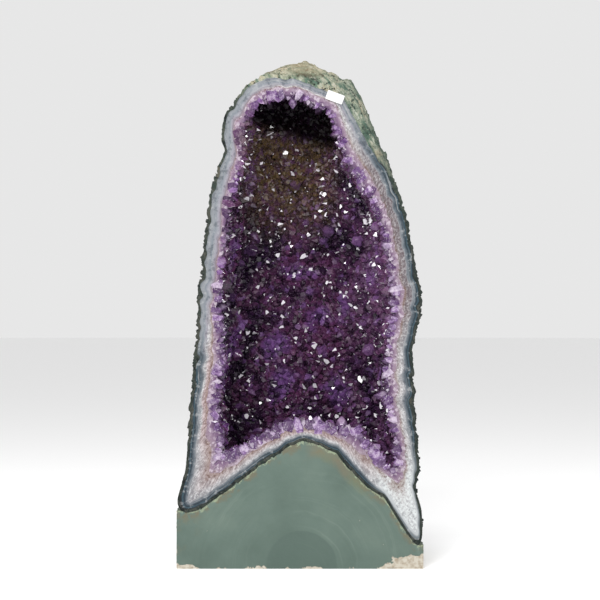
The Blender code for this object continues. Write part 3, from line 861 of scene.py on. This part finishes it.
for name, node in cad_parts.items():
    if "_crystal_" not in name:
        continue
    corners = np.unique(np.round([v.co for v in node.data.vertices], 6), axis=0)
    far = np.linalg.norm(corners - corners.mean(axis=0), axis=1)
    tip = Vector(corners[far.argmax()])
    roots = sorted((Vector(c) for c in corners), key=lambda c: -(c - tip).length)[:6]
    root = sum(roots, Vector()) / 6
    axis = tip - root
    width = 2.0 * sum((c - root).length for c in roots) / 6
    mesh = quartz_form(f"{name}_point", chance, name.startswith("back"))
    low = min(v.co.z for v in mesh.vertices)
    tall = max(v.co.z for v in mesh.vertices) - low
    if name.startswith("sill"):
        width *= SILL_STOUTNESS
    lean = axis.to_track_quat("Z", "Y").to_matrix().to_4x4()
    stand = lean @ Matrix.Rotation(chance.uniform(0, 1), 4, "Z")
    mesh.transform(Matrix.Translation(root) @ stand
                   @ Matrix.Diagonal((width, width, axis.length / tall, 1)) @ Matrix.Translation((0, 0, -low)))
    crystal = placed(f"{name}_point", mesh)
    shade = chance.uniform(0.85 if name.startswith("back") else 0.55, 1.0)
    tone = mesh.attributes.new("tone", "FLOAT", "POINT")
    tone.data.foreach_set("value", [shade] * len(mesh.vertices))
    bevel = crystal.modifiers.new("worn_edges", "BEVEL")
    bevel.width = WORN_EDGE
    bevel.segments = 1
    mesh.materials.append(amethyst)
    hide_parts(name)
    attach(crystal, "root")

for thing in form_objects:
    bpy.data.objects.remove(thing)
bpy.data.collections.remove(forms)


# ---- Cast base -----------------------------------------------------------------------------------
# Cement poured round the foot of the geode, sawn flat in front and below, then brushed with
# grey-green paint. It fills the dent in the geode's floor, and its arrises are chipped to bare cement.

BASE_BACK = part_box("base_block")[1][1]
PAINT_LAP = 0.0004
LEVELS, COLUMNS = 46, 170

mound = np.where(in_mound)[0]
right_to_left = mound[np.argsort(-rim_angle[mound])]
base_share = (BASE_BACK - FRONT) / REACH
depth_shares = np.concatenate([[0, 0.004, 0.012], np.linspace(0.03, base_share, 34)])
rows = []
for share in depth_shares:
    under = bowl(rim_radius, REACH, [share])[0][right_to_left]
    edge = HALF * (1 - share**6) ** (1 / 6)
    top_x = np.concatenate([[edge], under[:, 0], [-edge]])
    top_z = np.concatenate([[under[0, 2]], under[:, 2], [under[-1, 2]]])
    spread = np.linspace(edge, -edge, COLUMNS)
    height = np.interp(spread[::-1], top_x[::-1], top_z[::-1])[::-1] - PAINT_LAP
    rows.append((FRONT + REACH * share, spread, height))


def cement_lumps(spot, amount):
    return amount * (noise.fractal(spot * 70, 0.9, 2, 4) * 0.6 + noise.fractal(spot * 330, 0.8, 2, 2) * 0.4)


base = bmesh.new()


def post(x, y, top, levels):
    """Corners up an upright line from the floor."""
    return [base.verts.new((x, y, top * level / LEVELS)) for level in levels]


y, xs, tops = rows[0]
front = [post(x, y, z, range(LEVELS + 1)) for x, z in zip(xs, tops)]
top = [[line[-1] for line in front]]
bottom = [[line[0] for line in front]]
right = [front[0]]
left = [front[-1]]
for y, xs, tops in rows[1:]:
    line = [base.verts.new((x, y, z)) for x, z in zip(xs, tops)]
    under = [base.verts.new((x, y, 0)) for x in xs]
    top.append(line)
    bottom.append(under)
    for side, column in ((right, 0), (left, -1)):
        side.append([under[column], *post(xs[column], y, tops[column], range(1, LEVELS)), line[column]])
back = [right[-1]]
for column in range(1, COLUMNS - 1):
    rise = post(xs[column], y, tops[column], range(1, LEVELS))
    back.append([bottom[-1][column], *rise, top[-1][column]])
back.append(left[-1])


def sheet_faces(lines):
    for one, two in zip(lines, lines[1:]):
        for a, b, c, d in zip(one, two, two[1:], one[1:]):
            if len({a, b, c, d}) == 4:
                base.faces.new((a, b, c, d))


for lines in (front, top, bottom, right, left, back):
    sheet_faces(lines)
bmesh.ops.recalc_face_normals(base, faces=base.faces)
for vert in base.verts:
    spot = vert.co.copy()
    facing = vert.normal
    if spot.z < 0.0005:
        chip = max(0.0, noise.noise(Vector((spot.x * 60, 3, spot.y * 60))) - 0.15)
        vert.co.z = 0.0
        if not vert.is_boundary and abs(facing.z) < 0.99:
            vert.co -= Vector((facing.x, facing.y, 0)) * 0.004 * chip
        continue
    if spot.y < FRONT + 0.0004:
        push = cement_lumps(spot, 0.0004)
        ring = math.hypot(spot.x - 0.006, spot.z + 0.006)
        push += 0.00012 * math.sin(ring * 900 + 2 * noise.noise(spot * 20))
        vert.co.y -= push
        continue
    vert.co += facing * cement_lumps(spot, 0.0016 if spot.z > 0.03 else 0.0010)
block = finished("painted_cast_base", base)
# How far each corner lies below the mound's edge, where the paint frays and where a painted shadow runs along
# the join
lap = block.data.attributes.new("lap", "FLOAT", "POINT")
edge_x, edge_z = rows[0][1][::-1], rows[0][2][::-1]
drops = [float(np.interp(v.co.x, edge_x, edge_z)) - v.co.z for v in block.data.vertices]
lap.data.foreach_set("value", drops)
shade_smooth(block, 50)

paint, shader, place = start_material("brushed_green_paint", 0.55, 0.3)
tree = shader.id_data
x, y, z = parts(place)
moved = add(tree, "ShaderNodeVectorMath", {"operation": "SUBTRACT"}, place, (0.002, 0.0, 0.003)).outputs[0]
flat = scaled(moved, (1.0, 0.0, 1.0))
ring = add(tree, "ShaderNodeVectorMath", {"operation": "LENGTH"}, flat).outputs["Value"]
fray_and_join_shade = plus(attribute(shader, "lap"), swing(grain(place, 85, 5, 0.7), 0.022))
cloud = grain(place, 14, 4)
arcs = grain(add(tree, "ShaderNodeCombineXYZ", None, plus(ring, times(cloud, 0.020))).outputs[0], 150, 5, 0.65)
blotch = grain(place, 30, 5, 0.6)
strokes = grain(place, 9, 3)
rubbed = grain(place, 48, 5, 0.65)
green = ramp(cloud, (0.35, 92, 112, 102), (0.55, 103, 123, 113), (0.70, 112, 131, 120))
green = stained(green, times(ranged(arcs, 0.52, 0.66, 0.0, 0.30), ranged(strokes, 0.42, 0.60)), 140, 156, 144)
green = stained(green, ranged(arcs, 0.46, 0.32, 0.0, 0.25), 84, 104, 95)
disc = ranged(plus(ring, times(blotch, 0.004)), 0.0455, 0.0425)
green = stained(green, times(disc, 0.75), 88, 108, 99)
green = stained(green, times(ranged(rubbed, 0.50, 0.60), ranged(ring, 0.118, 0.150), 0.25), 126, 122, 96)
green = stained(green, times(ranged(fray_and_join_shade, 0.0135, 0.004), ranged(rubbed, 0.45, 0.54), 0.80), 120, 114, 92)
scrape = times(ranged(x, 0.002, 0.022), ranged(x, 0.092, 0.062), ranged(fray_and_join_shade, 0.021, 0.009), 0.60)
earthy = blended(ranged(strokes, 0.4, 0.6), tint(134, 118, 96), tint(118, 128, 98))
green = blended(scrape, green, earthy)
worn = times(ranged(fray_and_join_shade, 0.0034, 0.0014), ranged(grain(place, 160, 4, 0.7), 0.42, 0.54), 0.8)
green = stained(green, worn, 164, 178, 148)
# Painted shadow: near-black spots right at the top edge, where the base meets the agate, as shade in the join
green = stained(green, times(ranged(fray_and_join_shade, -0.0002, -0.0016), ranged(blotch, 0.44, 0.54)), 38, 44, 44)
low_right = times(ranged(x, 0.085, 0.112), ranged(z, 0.024, 0.004))
low_left = times(ranged(x, -0.100, -0.138), ranged(z, 0.012, 0.0))
low_edge = plus(ranged(z, 0.0085, 0.0), low_left)
side_edges = plus(times(ranged(x, 0.138, 0.146), 0.5), times(ranged(x, -0.1425, -0.1462), 0.5))
bare = plus(times(low_right, 0.40), times(low_edge, 0.20))
bare = plus(bare, times(side_edges, 0.30))
bare = ranged(plus(bare, grain(place, 42, 6, 0.6)), 0.715, 0.735)
cement = ramp(grain(place, 210, 5), (0.35, 178, 164, 142), (0.6, 220, 212, 196))
feed(shader, "Base Color", blended(bare, green, cement))
feed(shader, "Roughness", ranged(blotch, 0.3, 0.7, 0.46, 0.66))
relief = plus(times(arcs, 0.3), times(grain(place, 360, 4), 0.5))
bump(shader, maths("SUBTRACT", relief, times(bare, 0.8)), 0.0007, 0.7)

block.data.materials.append(paint)
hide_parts("base_block")
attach(block, "root")


# ---- Price label ---------------------------------------------------------------------------------
# A blank paper label from a price gun, pressed on the rim over the agate and amethyst. Its corners
# are rounded, and it lifts a little at one end.

low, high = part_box("price_label")
middle = Vector(((low[0] + high[0]) / 2, 0, (low[2] + high[2]) / 2))
LABEL_WIDE, LABEL_TALL, LABEL_THICK = 0.021, 0.011, 0.0003
CORNER = 0.0008
label = bmesh.new()
outline = []
for cx, cz, start in ((1, 1, 0), (-1, 1, 90), (-1, -1, 180), (1, -1, 270)):
    for step in range(5):
        turn = math.radians(start + 22.5 * step)
        outline.append((cx * (LABEL_WIDE / 2 - CORNER) + CORNER * math.cos(turn),
                        cz * (LABEL_TALL / 2 - CORNER) + CORNER * math.sin(turn)))
tilt = math.radians(-20.5)
near, far = [], []
for x, z in outline:
    lift = 0.0006 * max(0.0, x / LABEL_WIDE) ** 2 * 4 + 0.0009
    px = middle.x + x * math.cos(tilt) - z * math.sin(tilt)
    pz = middle.z + x * math.sin(tilt) + z * math.cos(tilt)
    near.append(label.verts.new((px, FRONT - lift - LABEL_THICK, pz)))
    far.append(label.verts.new((px, FRONT - lift, pz)))
label.faces.new(near)
label.faces.new(far[::-1])
for index in range(len(near)):
    after = (index + 1) % len(near)
    label.faces.new((near[index], far[index], far[after], near[after]))
bmesh.ops.recalc_face_normals(label, faces=label.faces)
tag = finished("blank_price_label", label)

paper, shader, place = start_material("label_stock", 0.45)
pulp = grain(place, 900, 3)
feed(shader, "Base Color", blended(pulp, tint(244, 244, 244), tint(255, 255, 255)))
bump(shader, pulp, 0.00005, 0.4)
tag.data.materials.append(paper)
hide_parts("price_label")
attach(tag, "root")


# ---- Studio --------------------------------------------------------------------------------------
# A pale floor under a white sky, one soft lamp in front, a ring of small lamps that light single
# facets, and a level camera, square to the sawn face and a little above its middle.

LAMP_REACH, LAMP_AIM = 1.9, (0, 0, 0.32)
SPARKLES = ((-66, 36), (-36, 62), (16, 74), (50, 34), (78, 10), (-84, 4), (-12, 40), (-24, 12), (30, 4),
            (-50, 10), (64, 56))  # each lamp's turn from the front, and its climb

floor_shape = bmesh.new()
bmesh.ops.create_circle(floor_shape, cap_ends=True, segments=96, radius=14)
floor = finished("studio_floor", floor_shape)
white_floor, shader, place = start_material("pale_floor", 0.9)
shader.inputs["Base Color"].default_value = (0.93, 0.93, 0.93, 1)
floor.data.materials.append(white_floor)

world = bpy.data.worlds.new("studio_white")
world.use_nodes = True
world.node_tree.nodes["Background"].inputs[0].default_value = (1, 1, 1, 1)
world.node_tree.nodes["Background"].inputs[1].default_value = 0.80
bpy.context.scene.world = world


def lamp(name, place, aim, size, power):
    light = bpy.data.lights.new(name, "AREA")
    light.shape = "RECTANGLE"
    light.size, light.size_y = size
    light.energy = power
    holder = bpy.data.objects.new(name, light)
    holder.location = place
    holder.rotation_euler = (Vector(aim) - Vector(place)).to_track_quat("-Z", "Y").to_euler()
    bpy.context.scene.collection.objects.link(holder)


lamp("front_soft", (-0.35, -2.1, 1.6), (0, 0, 0.3), (0.55, 0.55), 32)
for number, (turn, climb) in enumerate(SPARKLES):
    side, rise = math.radians(turn), math.radians(climb)
    out = LAMP_REACH * math.cos(rise)
    spot = (out * math.sin(side), -out * math.cos(side), LAMP_AIM[2] + LAMP_REACH * math.sin(rise))
    lamp(f"sparkle_{number}", spot, LAMP_AIM, (0.15, 0.15), 3.4)

camera = bpy.data.cameras.new("front_camera")
camera.lens = 116.3
camera.sensor_width = 36
viewer = bpy.data.objects.new("front_camera", camera)
viewer.location = (0, FRONT - 2.30, 0.319)
viewer.rotation_euler = (math.radians(90), 0, 0)
bpy.context.scene.collection.objects.link(viewer)
bpy.context.scene.camera = viewer
bpy.context.scene.view_settings.view_transform = "Standard"
